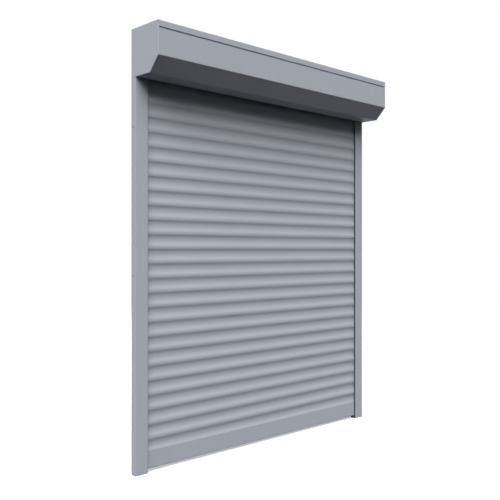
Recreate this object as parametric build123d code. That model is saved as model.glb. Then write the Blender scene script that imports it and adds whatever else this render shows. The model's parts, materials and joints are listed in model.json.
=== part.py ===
from build123d import *
import math
import os

# Exterior roller shutter, closed, seen from outside: X runs along the shaft, Y points into the
# wall, Z points up. The origin lies on the wall plane, level with the foot of the guide rails,
# halfway between them. All lengths are in millimetres.

# Overall size
shutter_width = 1112.0
shutter_height = 1350.0
box_depth = 136.0
box_height = 147.0
chamfer_back = 41.5
chamfer_down = 45.0

# One overrun serves every cut that has to pass right through a wall
overrun = 1.0
# Clearance of loose sliding pieces, of a shaft in its bore, and of flat pieces laid together
loose_gap = 0.3
running_gap = 0.05
seat_gap = 0.1

# Shell of the shutter box
panel_wall = 1.5
panel_bend = 2.4
lip_height = 19.3
seam_height = 4.5
cap_plate = 4.0
cap_edge_round = 1.2
cap_rim_wall = 1.8
cap_rim_depth = 14.0
hem_height = 10.0
hem_room = 18.0
cover_to_guide = 1.6

# Hinge seam, where the inspection cover hangs in the rear panel
bead_radius = 2.4
channel_wall = 1.2
bead_inset = 4.0
bead_below_lip = 3.4
neck_wall = 1.2
neck_angle = 222.0
channel_open_from = 128.0
channel_open_to = 241.0
channel_web = 1.5

# Guide rails
guide_width = 45.0
guide_depth = 22.0
guide_wall = 1.8
guide_chamber = 10.2
guide_corner = 0.8
gasket_pocket_width = 5.6
gasket_pocket_depth = 2.6
gasket_toe = 1.2
gasket_toe_reach = 3.0
nib_wall = 1.4
nib_from_mouth = 14.0
nib_to_slat = 0.9
rail_hole_radius = 2.75
rail_hole_count = 3
rail_hole_from_end = 150.0

# Guide rail gaskets
gasket_root = 1.9
gasket_bulb = 4.8

# Bottom plugs and inlet funnels
plug_tenon_length = 25.0
plug_floor = 3.0
funnel_height = 30.0
funnel_wall = 3.0
funnel_flare = 8.0
funnel_web = 7.0

# Curtain
slat_pitch = 45.0
slat_depth = 9.0
slat_wall = 0.7
slat_joint_gap = 0.15
slat_in_guide = 24.0
vent_travel = 1.8

# The slat's outline: places up the pitch and across the depth, from the curtain's mid-plane
nose_up_share = 0.147
crest_up_share = 0.40
hollow_up_share = 0.756
back_up_share = 0.60
foot_front_share = -0.40
nose_front_share = -0.50
crest_front_share = -0.19
hollow_front_share = 0.244
top_front_share = 0.044
top_back_share = 0.37
back_back_share = 0.497
foot_back_share = 0.33

# Hook on top of each slat, and the socket in the next slat's nose that it hangs in
hook_web = 1.1
hook_head = 1.1
hook_reach = 2.3
socket_lip = 1.2
socket_side_gap = 0.4
hook_stop_gap = 0.1

# Bottom bar
bar_bottom = 12.0
bar_height = 86.5
bar_flat_height = 54.0
bar_wall = 1.5
seal_height = 1.0
seal_width = 6.0
seal_groove_width = 4.0
seal_groove_depth = 3.0
seal_neck_width = 2.2

# Shaft and its drive
shaft_flats = 40.0
shaft_sides = 8
shaft_wall = 0.8
shaft_back_share = 0.5
shaft_up_share = 0.51
shaft_left_gap = 33.0
shaft_right_gap = 48.0
pin_radius = 6.0
bearing_radius = 14.0
bearing_width = 8.0
pin_room = 1.0
ball_radius = 1.7
ball_sides = 8
ball_count = 8
cage_wall = 1.0
cage_rim = 0.8
capsule_length = 60.0
capsule_flange = 3.0
capsule_flange_margin = 2.0
holder_wall = 3.0
holder_size = 58.0
holder_thickness = 6.0
motor_radius = 17.5
motor_length = 450.0
motor_head_radius = 23.0
motor_head_length = 26.0
motor_head_flat_share = 0.86
crown_length = 12.0
crown_flange = 3.0
crown_flange_margin = 2.0
spindle_radius = 5.0
spindle_length = 24.0
spindle_seat = 12.0
adapter_length = 16.0
adapter_rim = 2.4
adapter_spoke = 3.0
adapter_spokes = 4
adapter_hub = 4.0
bracket_size = 60.0
bracket_wall = 3.0
boss_radius = 5.0
bracket_screw_radius = 2.0
bracket_screw_head = 4.0
bracket_screw_head_height = 2.4
bracket_hole_inset = 8.0
bracket_spigot = 5.0
limit_screw_radius = 3.0
limit_screw_length = 7.0
limit_screw_proud = 2.0
limit_screw_apart = 16.0
limit_hex_flats = 3.0
limit_hex_depth = 3.0

# Hangers between the shaft and the top slat
strap_count = 3
strap_width = 22.0
strap_wall = 0.8
strap_edge = 130.0
strap_tail = 8.0
strap_bend_share = 0.906
clip_length = 30.0
clip_wall = 1.2

# Fasteners and the cable's grommet on top of the box
panel_screw_radius = 1.9
panel_screw_head = 3.8
panel_screw_head_height = 1.8
panel_screw_from_end = 8.0
panel_screw_front_share = 0.76
panel_screw_back_share = 0.24
panel_screw_length = 7.0
grommet_bore = 3.6
grommet_radius = 6.5
grommet_flange_radius = 9.0
grommet_flange = 1.5
grommet_from_end = 60.0
grommet_back_share = 0.2

# Places worked out from the sizes above
half_width = shutter_width / 2
box_bottom = shutter_height - box_height
chamfer_top = box_bottom + chamfer_down
slope_from_front = math.atan2(chamfer_back, chamfer_down)
slope_from_under = math.atan2(chamfer_down, chamfer_back)
plate_inside = half_width - cap_plate
panel_half = plate_inside - seat_gap
lip_bottom = shutter_height - lip_height
hinge_y = -box_depth + bead_inset
hinge_z = lip_bottom - bead_below_lip
curtain_y = -guide_depth / 2
guide_mouth = half_width - guide_width
rail_hole_spacing = (box_bottom - 2 * rail_hole_from_end) / (rail_hole_count - 1)
slat_half = guide_mouth + slat_in_guide
bar_top = bar_bottom + bar_height
slat_count = math.ceil((box_bottom - bar_top) / slat_pitch)
curtain_top = bar_top + slat_count * slat_pitch
shaft_y = -box_depth * shaft_back_share
shaft_z = box_bottom + box_height * shaft_up_share
shaft_left = -plate_inside + shaft_left_gap
shaft_right = plate_inside - shaft_right_gap
shaft_inside_flats = shaft_flats - 2 * shaft_wall
shaft_top = shaft_z + shaft_flats / 2
flat_half_angle = 180 / shaft_sides


def outline(*points):
    """Flat face with straight edges through the points."""
    return make_face(Polyline(*points, close=True))


def strip(points, wall, side, bend):
    """Section of a bent sheet: a path with rounded corners, given its wall on one side."""
    path = FilletPolyline(*points, radius=bend)
    return make_face(offset(path, amount=wall, side=side))


def across(section, left, right):
    """Solid of a (y, z) section between two places along X."""
    return extrude(Plane.YZ.offset(left) * section, amount=right - left)


def upright(section, low, high):
    """Solid of an (x, y) section between two heights."""
    return extrude(Plane.XY.offset(low) * section, amount=high - low)


def rod(radius, left, right, y=shaft_y, z=shaft_z):
    """Round bar along X, on the shaft's axis unless told otherwise."""
    return across(Pos(y, z) * Circle(radius), left, right)


def octagon(flats):
    """Octagonal section on the shaft's axis with one flat upwards."""
    section = RegularPolygon(flats / 2, shaft_sides, major_radius=False, rotation=flat_half_angle)
    return Pos(shaft_y, shaft_z) * section


def other_side(shape):
    """The same piece for the other end of the shutter."""
    return mirror(shape, about=Plane.YZ)


def box_outline():
    """The shutter box seen from its end, with the 45 degree slope at its lower front."""
    return outline(
        (-box_depth, chamfer_top),
        (-box_depth, shutter_height),
        (0, shutter_height),
        (0, box_bottom),
        (-box_depth + chamfer_back, box_bottom),
    )


def ring_sector(inner, outer, start, stop):
    """Part of a ring about the hinge axis, from one angle round to another."""
    reach = 2 * outer
    ring = Circle(outer) - Circle(inner)
    middle = (start + stop) / 2
    wedge = outline(
        (0, 0),
        (reach * math.cos(math.radians(start)), reach * math.sin(math.radians(start))),
        (reach * math.cos(math.radians(middle)), reach * math.sin(math.radians(middle))),
        (reach * math.cos(math.radians(stop)), reach * math.sin(math.radians(stop))),
    )
    return Pos(hinge_y, hinge_z) * (ring - wedge)


def panel_screw_places():
    """The four screws through the top of the box into the end caps."""
    x = panel_half - panel_screw_from_end
    rows = (-box_depth * panel_screw_front_share, -box_depth * panel_screw_back_share)
    return [(side * x, y) for side in (-1, 1) for y in rows]


def grommet_place():
    """Where the motor's cable leaves the box, on top and near the wall."""
    return plate_inside - grommet_from_end, -box_depth * grommet_back_share


def rear_panel():
    """Lip, top and back of the box in one folded profile, with the channel the cover hangs in."""
    shell = strip(
        [
            (-box_depth, lip_bottom),
            (-box_depth, shutter_height),
            (0, shutter_height),
            (0, box_bottom),
        ],
        panel_wall,
        Side.RIGHT,
        panel_bend,
    )
    inner = bead_radius + seat_gap
    channel = ring_sector(inner, inner + channel_wall, channel_open_from, channel_open_to)
    web_back = hinge_y + channel_wall
    web = outline(
        (-box_depth, lip_bottom),
        (web_back, lip_bottom),
        (web_back, lip_bottom + channel_web),
        (-box_depth, lip_bottom + channel_web),
    )
    panel = across(shell + channel + web, -panel_half, panel_half)
    for x, y in panel_screw_places():
        hole = Pos(x, y) * Circle(panel_screw_radius + running_gap)
        panel -= upright(hole, shutter_height - 2 * panel_wall, shutter_height + overrun)
    x, y = grommet_place()
    panel -= upright(
        Pos(x, y) * Circle(grommet_radius), shutter_height - 2 * panel_wall, shutter_height + overrun
    )
    return panel


def inspection_cover():
    """Front, slope and underside of the box; its bead turns in the rear panel's channel."""
    back = -guide_depth - cover_to_guide
    shell = strip(
        [
            (-box_depth, lip_bottom - seam_height),
            (-box_depth, chamfer_top),
            (-box_depth + chamfer_back, box_bottom),
            (back, box_bottom),
            (back, box_bottom + hem_height),
        ],
        panel_wall,
        Side.LEFT,
        panel_bend,
    )
    neck_length = bead_radius + bead_inset / 2
    neck = Pos(hinge_y, hinge_z) * (
        Rot(0, 0, neck_angle) * (Pos(neck_length / 2, 0) * Rectangle(neck_length, neck_wall))
    )
    bead = Pos(hinge_y, hinge_z) * Circle(bead_radius)
    return across(shell + neck + bead, -panel_half, panel_half)


def cap_plate_and_rim():
    """End cap of the right side: edge-rounded plate and the rim that the panels lie on."""
    plate = across(box_outline(), plate_inside, half_width)
    outer_edges = plate.faces().sort_by(Axis.X)[-1].edges()
    plate = fillet(outer_edges, cap_edge_round)
    inset = panel_wall + seat_gap
    rim_front = -box_depth + inset
    rim_low = box_bottom + inset
    front_turn = math.tan(slope_from_front / 2) * inset
    under_turn = math.tan(slope_from_under / 2) * inset
    cover_rim = strip(
        [
            (rim_front, hinge_z - 2 * bead_inset),
            (rim_front, chamfer_top + front_turn),
            (-box_depth + chamfer_back + under_turn, rim_low),
            (-guide_depth - cover_to_guide - hem_room, rim_low),
        ],
        cap_rim_wall,
        Side.LEFT,
        panel_bend,
    )
    rear_rim = strip(
        [
            (-box_depth + 2 * bead_inset, shutter_height - inset),
            (-inset, shutter_height - inset),
            (-inset, box_bottom),
        ],
        cap_rim_wall,
        Side.RIGHT,
        panel_bend,
    )
    rim = across(cover_rim + rear_rim, plate_inside - cap_rim_depth, plate_inside)
    for x, y in panel_screw_places():
        if x > 0:
            top = shutter_height - inset
            rim += upright(Pos(x, y) * Circle(boss_radius), top - panel_screw_length, top)
            rim -= upright(
                Pos(x, y) * Circle(panel_screw_radius), top - panel_screw_length - overrun, top + overrun
            )
    return plate + rim


def boss_places(size):
    """Square of four screw bosses round the shaft's axis."""
    reach = size / 2 - bracket_hole_inset
    return [(shaft_y + a * reach, shaft_z + b * reach) for a in (-1, 1) for b in (-1, 1)]


def end_cap(size):
    """Cast end cap with four bosses for its bracket and the tenon that stands in the guide rail."""
    cap = cap_plate_and_rim()
    for y, z in boss_places(size):
        cap += rod(boss_radius, plate_inside - bracket_spigot, plate_inside, y, z)
        cap -= rod(bracket_screw_radius, plate_inside - bracket_spigot - overrun, plate_inside, y, z)
    inner_low = half_width - guide_wall - guide_chamber + loose_gap
    inner_high = half_width - guide_wall - loose_gap
    tenon = Pos((inner_low + inner_high) / 2, curtain_y) * Rectangle(
        inner_high - inner_low, guide_depth - 2 * guide_wall - 2 * loose_gap
    )
    cap += upright(tenon, box_bottom - plug_tenon_length, box_bottom + cap_plate)
    return cap


def half_gasket_groove():
    """Front half of the toes that hold a gasket, in distances from the rail's mouth and front."""
    inner = gasket_pocket_width + gasket_toe
    depth = guide_wall + gasket_pocket_depth
    hook = outline(
        (-inner - nib_wall, 0),
        (-inner - nib_wall, depth + gasket_toe),
        (-inner + gasket_toe_reach - gasket_toe, depth + gasket_toe),
        (-inner + gasket_toe_reach - gasket_toe, depth),
        (-inner, depth),
        (-inner, 0),
    )
    lip = outline(
        (-gasket_toe, 0),
        (-gasket_toe, guide_wall + gasket_toe),
        (0, guide_wall + gasket_toe),
        (0, 0),
    )
    return hook + lip


def guide_rail():
    """Right guide rail: closed screw chamber outside, open slot with gasket grooves inside."""
    block = Rectangle(guide_width, guide_depth)
    block = fillet(block.vertices().group_by(Axis.X)[-1], guide_corner)
    shell = Pos(half_width - guide_width / 2, curtain_y) * block
    chamber = Pos(half_width - guide_wall - guide_chamber / 2, curtain_y) * Rectangle(
        guide_chamber, guide_depth - 2 * guide_wall
    )
    slot_start = half_width - 2 * guide_wall - guide_chamber
    slot = Pos((slot_start + guide_mouth - overrun) / 2, curtain_y) * Rectangle(
        slot_start - guide_mouth + overrun, guide_depth - 2 * guide_wall
    )
    section = shell - chamber - slot
    nib_height = guide_depth / 2 - slat_depth / 2 - nib_to_slat
    front_half = half_gasket_groove() + outline(
        (-nib_from_mouth - nib_wall, 0),
        (-nib_from_mouth - nib_wall, nib_height),
        (-nib_from_mouth, nib_height),
        (-nib_from_mouth, 0),
    )
    front = Pos(guide_mouth, -guide_depth) * mirror(front_half, about=Plane.YZ)
    back = mirror(front, about=Plane.XZ.offset(-curtain_y))
    rail = upright(section + front + back, 0, box_bottom)
    notch = Pos(slot_start + guide_wall / 2, curtain_y) * Rectangle(
        guide_wall + 2 * overrun, guide_depth - 2 * guide_wall
    )
    rail -= upright(notch, -overrun, plug_floor + seat_gap)
    for index in range(rail_hole_count):
        z = rail_hole_from_end + index * rail_hole_spacing
        rail -= rod(rail_hole_radius, slot_start - overrun, half_width + overrun, curtain_y, z)
    return rail


def guide_gaskets():
    """Pair of soft strips either side of the slot; each root sits in its groove, the bulb seals."""
    pocket_in = gasket_pocket_width + gasket_toe - seat_gap
    root_low = guide_wall + seat_gap
    tip = guide_depth / 2 - slat_depth / 2 - loose_gap
    throat = pocket_in - gasket_toe_reach + gasket_toe
    section = outline(
        (-pocket_in, root_low),
        (-pocket_in, root_low + gasket_root),
        (-throat + seat_gap, root_low + gasket_root),
        (-throat + seat_gap, tip - seat_gap),
        (-gasket_bulb / 2, tip),
        (-seat_gap, tip - gasket_toe),
        (-seat_gap, guide_wall + gasket_toe + seat_gap),
        (-gasket_toe - seat_gap, guide_wall + gasket_toe + seat_gap),
        (-gasket_toe - seat_gap, root_low),
    )
    front = Pos(guide_mouth, -guide_depth) * mirror(section, about=Plane.YZ)
    back = mirror(front, about=Plane.XZ.offset(-curtain_y))
    return [upright(side, 0, box_bottom) for side in (front, back)]


def guide_plug():
    """Plug in the foot of the right rail: chamber tenon, floor through the web, stop for the bar."""
    height = guide_depth - 2 * guide_wall - 2 * loose_gap
    tenon_out = half_width - guide_wall - loose_gap
    tenon_in = half_width - guide_wall - guide_chamber + loose_gap
    stop_out = tenon_in - guide_wall - 2 * loose_gap
    stop_in = guide_mouth + nib_from_mouth + nib_wall + loose_gap

    def block(inside, outside, top):
        face = Pos((inside + outside) / 2, curtain_y) * Rectangle(outside - inside, height)
        return upright(face, 0, top)

    plug = block(tenon_in, tenon_out, plug_tenon_length)
    plug += block(stop_in, stop_out, bar_bottom)
    return plug + block(stop_in, tenon_out, plug_floor)


def inlet_funnel():
    """Funnel on top of the right rail: flared front lip, plain back lip, joined by an end web."""
    low = box_bottom
    high = box_bottom + funnel_height
    slot_front = curtain_y - slat_depth / 2 - nib_to_slat
    slot_back = curtain_y + slat_depth / 2 + nib_to_slat
    back_face = -panel_wall - cap_rim_wall - 2 * seat_gap - loose_gap
    front_lip = outline(
        (slot_front - funnel_wall, low),
        (slot_front, low),
        (slot_front, (low + high) / 2),
        (slot_front - funnel_flare, high),
        (slot_front - funnel_flare - funnel_wall, high),
        (slot_front - funnel_wall, (low + high) / 2),
    )
    back_lip = outline(
        (slot_back, low),
        (back_face, low),
        (back_face, high),
        (slot_back + (back_face - slot_back) / 2, high),
        (slot_back, (low + high) / 2),
    )
    web = outline(
        (slot_front - funnel_wall, low),
        (back_face, low),
        (back_face, high),
        (slot_front - funnel_flare, high),
        (slot_front - funnel_wall, (low + high) / 2),
    )
    end = half_width - guide_wall - guide_chamber
    lips = across(front_lip + back_lip, guide_mouth, end)
    return lips + across(web, end - funnel_web, end)


def hook(z):
    """Hook section that stands on a slat or bar whose top is at z."""
    front = curtain_y + slat_depth * top_front_share
    under = z + socket_lip + vent_travel + hook_stop_gap
    return outline(
        (front, z - slat_wall),
        (front, under),
        (front - hook_reach, under),
        (front - hook_reach, under + hook_head),
        (front + hook_web, under + hook_head),
        (front + hook_web, z - slat_wall),
    )


def socket(z):
    """Socket section in the nose of a slat whose foot is at z: a chamber with a slot below."""
    front = curtain_y + slat_depth * top_front_share
    roof = socket_lip + vent_travel + 2 * hook_stop_gap + hook_head + loose_gap
    chamber = outline(
        (front - hook_reach - socket_side_gap, z + socket_lip),
        (front - hook_reach - socket_side_gap, z + roof),
        (front + hook_web + socket_side_gap, z + roof),
        (front + hook_web + socket_side_gap, z + socket_lip),
    )
    slot = outline(
        (front - socket_side_gap, z - overrun),
        (front - socket_side_gap, z + socket_lip),
        (front + hook_web + socket_side_gap, z + socket_lip),
        (front + hook_web + socket_side_gap, z - overrun),
    )
    return chamber + slot, z + roof


def slat_point(z, across_share, up_share):
    """Place on the outline of the slat whose foot is at z, from its shares of depth and pitch."""
    return curtain_y + slat_depth * across_share, z + slat_pitch * up_share


def hollow_face(z):
    """The hollow upper face of a slat, an arc from its crest to its top, for slats and the bar."""
    return ThreePointArc(
        slat_point(z, crest_front_share, crest_up_share),
        slat_point(z, hollow_front_share, hollow_up_share),
        slat_point(z, top_front_share, 1),
    )


def slat_outline(z):
    """Slat section without hook and socket: nose below, hollow face above, bowed back."""
    foot_up_share = slat_joint_gap / slat_pitch
    foot_front = slat_point(z, foot_front_share, foot_up_share)
    foot_back = slat_point(z, foot_back_share, foot_up_share)
    top_back = slat_point(z, top_back_share, 1)
    face = hollow_face(z)
    return make_face(
        ThreePointArc(foot_front, slat_point(z, nose_front_share, nose_up_share), face @ 0)
        + face
        + Line(face @ 1, top_back)
        + ThreePointArc(top_back, slat_point(z, back_back_share, back_up_share), foot_back)
        + Line(foot_back, foot_front)
    )


def slat(z):
    """Hollow slat whose foot is at z, hooked at the top and socketed at the nose."""
    body = slat_outline(z)
    pocket, roof = socket(z)
    core = offset(body, amount=-slat_wall, kind=Kind.INTERSECTION)
    upper = outline(
        (-guide_depth, roof + slat_wall),
        (-guide_depth, z + slat_pitch),
        (0, z + slat_pitch),
        (0, roof + slat_wall),
    )
    section = body + hook(z + slat_pitch) - pocket - (core & upper)
    return across(section, -slat_half, slat_half)


def bottom_bar():
    """End bar of the curtain: tall flat foot, hollow top like a slat's, groove for the seal."""
    face = hollow_face(bar_top - slat_pitch)
    front = curtain_y - slat_depth / 2
    back = curtain_y + slat_depth / 2
    flat_top = bar_bottom + bar_flat_height
    top_back = slat_point(bar_top - slat_pitch, top_back_share, 1)
    body = make_face(
        Line((front, bar_bottom), (front, flat_top))
        + Line((front, flat_top), face @ 0)
        + face
        + Line(face @ 1, top_back)
        + Line(top_back, (back, flat_top))
        + Line((back, flat_top), (back, bar_bottom))
        + Line((back, bar_bottom), (front, bar_bottom))
    )
    deck = bar_bottom + 2 * bar_wall + seal_groove_depth
    core = outline(
        (front + bar_wall, deck),
        (front + bar_wall, flat_top - bar_wall),
        (back - bar_wall, flat_top - bar_wall),
        (back - bar_wall, deck),
    )
    groove = seal_key(0) + outline(
        (curtain_y - seal_neck_width / 2, bar_bottom - overrun),
        (curtain_y - seal_neck_width / 2, bar_bottom + bar_wall),
        (curtain_y + seal_neck_width / 2, bar_bottom + bar_wall),
        (curtain_y + seal_neck_width / 2, bar_bottom - overrun),
    )
    return across(body + hook(bar_top) - core - groove, -slat_half, slat_half)


def seal_key(gap):
    """T-shaped key of the bottom seal, or with no gap the groove that it fills."""
    low = bar_bottom + bar_wall
    return outline(
        (curtain_y - seal_neck_width / 2 + gap, bar_bottom),
        (curtain_y - seal_neck_width / 2 + gap, low + gap),
        (curtain_y - seal_groove_width / 2 + gap, low + gap),
        (curtain_y - seal_groove_width / 2 + gap, low + seal_groove_depth - gap),
        (curtain_y + seal_groove_width / 2 - gap, low + seal_groove_depth - gap),
        (curtain_y + seal_groove_width / 2 - gap, low + gap),
        (curtain_y + seal_neck_width / 2 - gap, low + gap),
        (curtain_y + seal_neck_width / 2 - gap, bar_bottom),
    )


def bottom_seal():
    """Rubber strip keyed into the bar's groove; its low rounded foot closes on the sill."""
    foot = Pos(curtain_y, bar_bottom - seal_height / 2) * Rectangle(seal_width, seal_height)
    foot = fillet(foot.vertices().group_by(Axis.Y)[0], seal_height / 2)
    return across(foot + seal_key(seat_gap), -guide_mouth + loose_gap, guide_mouth - loose_gap)


def shaft_tube():
    """Octagonal steel shaft that the curtain winds on."""
    return across(octagon(shaft_flats) - octagon(shaft_inside_flats), shaft_left, shaft_right)


def ball():
    """Bearing ball drawn with flats: three crossed octagonal bars whose corners lie on the sphere."""
    bar = extrude(RegularPolygon(ball_radius, ball_sides), amount=ball_radius, both=True)
    return bar & (Rot(90, 0, 0) * bar) & (Rot(0, 90, 0) * bar)


def bearing_pieces():
    """Ball bearing of the idle end: outer race, inner race, balls, and their cage."""
    outside = shaft_left - capsule_flange - seat_gap
    left = outside - bearing_width
    pitch_radius = (bearing_radius + pin_radius) / 2
    centre = (left + outside) / 2
    outer_bore = pitch_radius + ball_radius + running_gap
    inner_top = pitch_radius - ball_radius - running_gap
    outer = rod(bearing_radius, left, outside) - rod(outer_bore, left, outside)
    inner = rod(inner_top, left, outside) - rod(pin_radius + running_gap, left, outside)
    cage_half = ball_radius + cage_rim
    cage = rod(pitch_radius + cage_wall / 2, centre - cage_half, centre + cage_half)
    cage -= rod(pitch_radius - cage_wall / 2, centre - cage_half, centre + cage_half)
    balls = []
    for index in range(ball_count):
        turn = index * 360 / ball_count
        place = Pos(centre, shaft_y, shaft_z) * Rot(turn, 0, 0) * Pos(0, 0, pitch_radius)
        balls.append(place * ball())
        pocket = RegularPolygon(ball_radius + running_gap, ball_sides, major_radius=False)
        cage -= place * extrude(pocket, amount=cage_wall, both=True)
    return outer, inner, [cage] + balls


def roller_capsule():
    """Plastic plug in the idle end of the shaft, with the flange that stops it."""
    plug = across(octagon(shaft_inside_flats - 2 * seat_gap), shaft_left, shaft_left + capsule_length)
    flange = octagon(shaft_flats + 2 * capsule_flange_margin)
    plug += across(flange, shaft_left - capsule_flange, shaft_left)
    plug -= rod(pin_radius, shaft_left - capsule_flange - overrun, shaft_left + capsule_length + overrun)
    return plug


def capsule_pin():
    """Steel pin of the idle end, fixed in the capsule and carried by the bearing."""
    left = shaft_left - capsule_flange - seat_gap - bearing_width
    return chamfer(
        rod(pin_radius, left - seat_gap, shaft_left + capsule_length).edges().filter_by(GeomType.CIRCLE),
        cap_edge_round / 2,
    )


def holder_plate(size, thickness, plate_left):
    """Square bracket plate with rounded corners and four screw holes, on the shaft's axis."""
    section = Pos(shaft_y, shaft_z) * RectangleRounded(size, size, boss_radius)
    plate = across(section, plate_left, plate_left + thickness)
    for y, z in boss_places(size):
        plate -= rod(
            bracket_screw_radius + running_gap, plate_left - overrun, plate_left + thickness + overrun, y, z
        )
    return plate


def bearing_holder():
    """Holder on the left end cap: a plate with the cup that the bearing's outer race sits in."""
    plate_left = -plate_inside + bracket_spigot
    plate = holder_plate(holder_size, holder_thickness, plate_left)
    outside = shaft_left - capsule_flange - seat_gap
    cup = rod(bearing_radius + holder_wall, plate_left, outside)
    cup -= rod(bearing_radius, outside - bearing_width, outside + overrun)
    plate += cup
    plate -= rod(bearing_radius, outside - bearing_width, outside + overrun)
    plate -= rod(pin_radius + pin_room, plate_left - overrun, outside)
    return plate


def motor_pieces():
    """Fixed tube of the tubular motor and the head that its bracket holds."""
    head_left = plate_inside - bracket_spigot - bracket_wall - motor_head_length
    motor_end = head_left - motor_length
    tube = rod(motor_radius, motor_end, head_left)
    tube -= rod(spindle_radius + running_gap, motor_end - overrun, motor_end + spindle_seat)
    head_section = Pos(shaft_y, shaft_z) * (
        Circle(motor_head_radius)
        & Rectangle(2 * motor_head_radius, 2 * motor_head_radius * motor_head_flat_share)
    )
    head = across(head_section, head_left, head_left + motor_head_length)
    for place in limit_screw_places():
        head -= limit_screw(place, running_gap, plain=True)
    return tube, head


def limit_screw_places():
    """Two adjusters side by side in the flat underside of the motor head."""
    head_left = plate_inside - bracket_spigot - bracket_wall - motor_head_length
    middle = head_left + motor_head_length / 2
    return [(middle, shaft_y - limit_screw_apart / 2), (middle, shaft_y + limit_screw_apart / 2)]


def limit_screw(place, margin=0.0, plain=False):
    """Adjuster pointing down out of the motor head, or the bore it turns in."""
    x, y = place
    flat = shaft_z - motor_head_radius * motor_head_flat_share
    low = flat - limit_screw_proud
    body = Pos(x, y) * Circle(limit_screw_radius + margin)
    screw = upright(body, low, flat + limit_screw_length + margin)
    if plain:
        return screw
    hexagon = Pos(x, y) * RegularPolygon(limit_hex_flats / 2, 6, major_radius=False)
    return screw - upright(hexagon, low - overrun, low + limit_hex_depth)


def crown_adapter():
    """Ring that turns with the shaft about the fixed motor tube."""
    left = shaft_right - crown_length
    ring = across(octagon(shaft_inside_flats - 2 * seat_gap), left, shaft_right)
    ring += across(octagon(shaft_flats + 2 * crown_flange_margin), shaft_right, shaft_right + crown_flange)
    ring -= rod(motor_radius + running_gap, left - overrun, shaft_right + crown_flange + overrun)
    return ring


def drive_pieces():
    """The motor's output spindle and the spoked wheel that drives the shaft with it."""
    motor_end = plate_inside - bracket_spigot - bracket_wall - motor_head_length - motor_length
    seated = motor_end + spindle_seat - loose_gap
    spindle = rod(spindle_radius, motor_end - loose_gap - spindle_length, seated)
    left = motor_end - loose_gap - spindle_length
    right = left + adapter_length
    wheel_flats = shaft_inside_flats - 2 * seat_gap
    rim = octagon(wheel_flats) - octagon(wheel_flats - 2 * adapter_rim)
    hub = Pos(shaft_y, shaft_z) * Circle(spindle_radius + adapter_hub)
    spoke = Rectangle(wheel_flats - adapter_rim, adapter_spoke)
    spokes = Sketch()
    for index in range(adapter_spokes // 2):
        spokes += Pos(shaft_y, shaft_z) * Rot(0, 0, index * 360 / adapter_spokes) * spoke
    wheel = across(rim + hub + spokes, left, right)
    wheel -= rod(spindle_radius + running_gap, left - overrun, right + overrun)
    return spindle, wheel


def motor_bracket():
    """Plate on the right end cap that the motor head is held against."""
    return holder_plate(bracket_size, bracket_wall, plate_inside - bracket_spigot - bracket_wall)


def bracket_screws():
    """Hexagon screws of both brackets: a head on the plate, a shank into the end cap's boss."""
    screws = []

    def screw_head(left, y, z):
        hexagon = Pos(y, z) * RegularPolygon(bracket_screw_head, 6)
        return across(hexagon, left, left + bracket_screw_head_height)

    for y, z in boss_places(bracket_size):
        seat = plate_inside - bracket_spigot - bracket_wall
        screws.append(
            screw_head(seat - bracket_screw_head_height, y, z)
            + rod(bracket_screw_radius - running_gap, seat, plate_inside - seat_gap, y, z)
        )
    for y, z in boss_places(holder_size):
        seat = -plate_inside + bracket_spigot + holder_thickness
        screws.append(
            screw_head(seat, y, z)
            + rod(bracket_screw_radius - running_gap, -plate_inside + seat_gap, seat, y, z)
        )
    return screws


def panel_screws():
    """Four bevelled screws on top of the box."""
    screws = []
    for x, y in panel_screw_places():
        head = upright(
            Pos(x, y) * Circle(panel_screw_head), shutter_height, shutter_height + panel_screw_head_height
        )
        head = chamfer(head.faces().sort_by(Axis.Z)[-1].edges(), panel_screw_head_height / 2)
        shank = upright(
            Pos(x, y) * Circle(panel_screw_radius - running_gap),
            shutter_height - panel_wall - panel_screw_length,
            shutter_height,
        )
        screws.append(head + shank)
    return screws


def cable_grommet():
    """Rubber grommet on top of the box, with the bore the motor's cable leaves by."""
    x, y = grommet_place()
    low = shutter_height - panel_wall
    flange = Pos(x, y) * Circle(grommet_flange_radius)
    body = upright(Pos(x, y) * Circle(grommet_radius - seat_gap), low, shutter_height)
    body += upright(flange, shutter_height, shutter_height + grommet_flange)
    body += upright(flange, low - grommet_flange, low)
    bore = Pos(x, y) * Circle(grommet_bore)
    return body - upright(bore, low - grommet_flange - overrun, shutter_height + grommet_flange + overrun)


def strap_middles():
    """Places of the hangers along the shaft, evenly spread between the two ends."""
    start = -guide_mouth + strap_edge
    step = (2 * guide_mouth - 2 * strap_edge) / (strap_count - 1)
    return [start + index * step for index in range(strap_count)]


def hanger_straps():
    """Free lengths of the spring-steel hangers, from the top of the shaft to the top slat."""
    foot = curtain_top + socket_lip + vent_travel + hook_stop_gap + hook_head + seat_gap
    seat = shaft_top + clip_wall + 2 * seat_gap
    foot_y = curtain_y + slat_depth * top_front_share
    clip_half = (shaft_flats / 2 + clip_wall + seat_gap) * math.tan(math.radians(flat_half_angle))
    clip_edge = shaft_y + clip_half
    bend = min(strap_bend_share * (foot_y - clip_edge), seat - foot - seat_gap)
    section = strip(
        [(shaft_y - strap_tail, seat), (foot_y, seat), (foot_y, foot)],
        strap_wall,
        Side.LEFT,
        bend,
    )
    return [across(section, x - strap_width / 2, x + strap_width / 2) for x in strap_middles()]


def strap_clips():
    """Clips that hold the hangers on the shaft: a saddle over the upper three flats."""
    outer = octagon(shaft_flats + 2 * clip_wall + 2 * seat_gap)
    saddle = outer - octagon(shaft_flats + 2 * seat_gap)
    keep = outline(
        (shaft_y - shaft_flats, shaft_z + shaft_flats / 4),
        (shaft_y - shaft_flats, shaft_z + shaft_flats),
        (shaft_y + shaft_flats, shaft_z + shaft_flats),
        (shaft_y + shaft_flats, shaft_z + shaft_flats / 4),
    )
    section = saddle & keep
    return [across(section, x - clip_length / 2, x + clip_length / 2) for x in strap_middles()]


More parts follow.
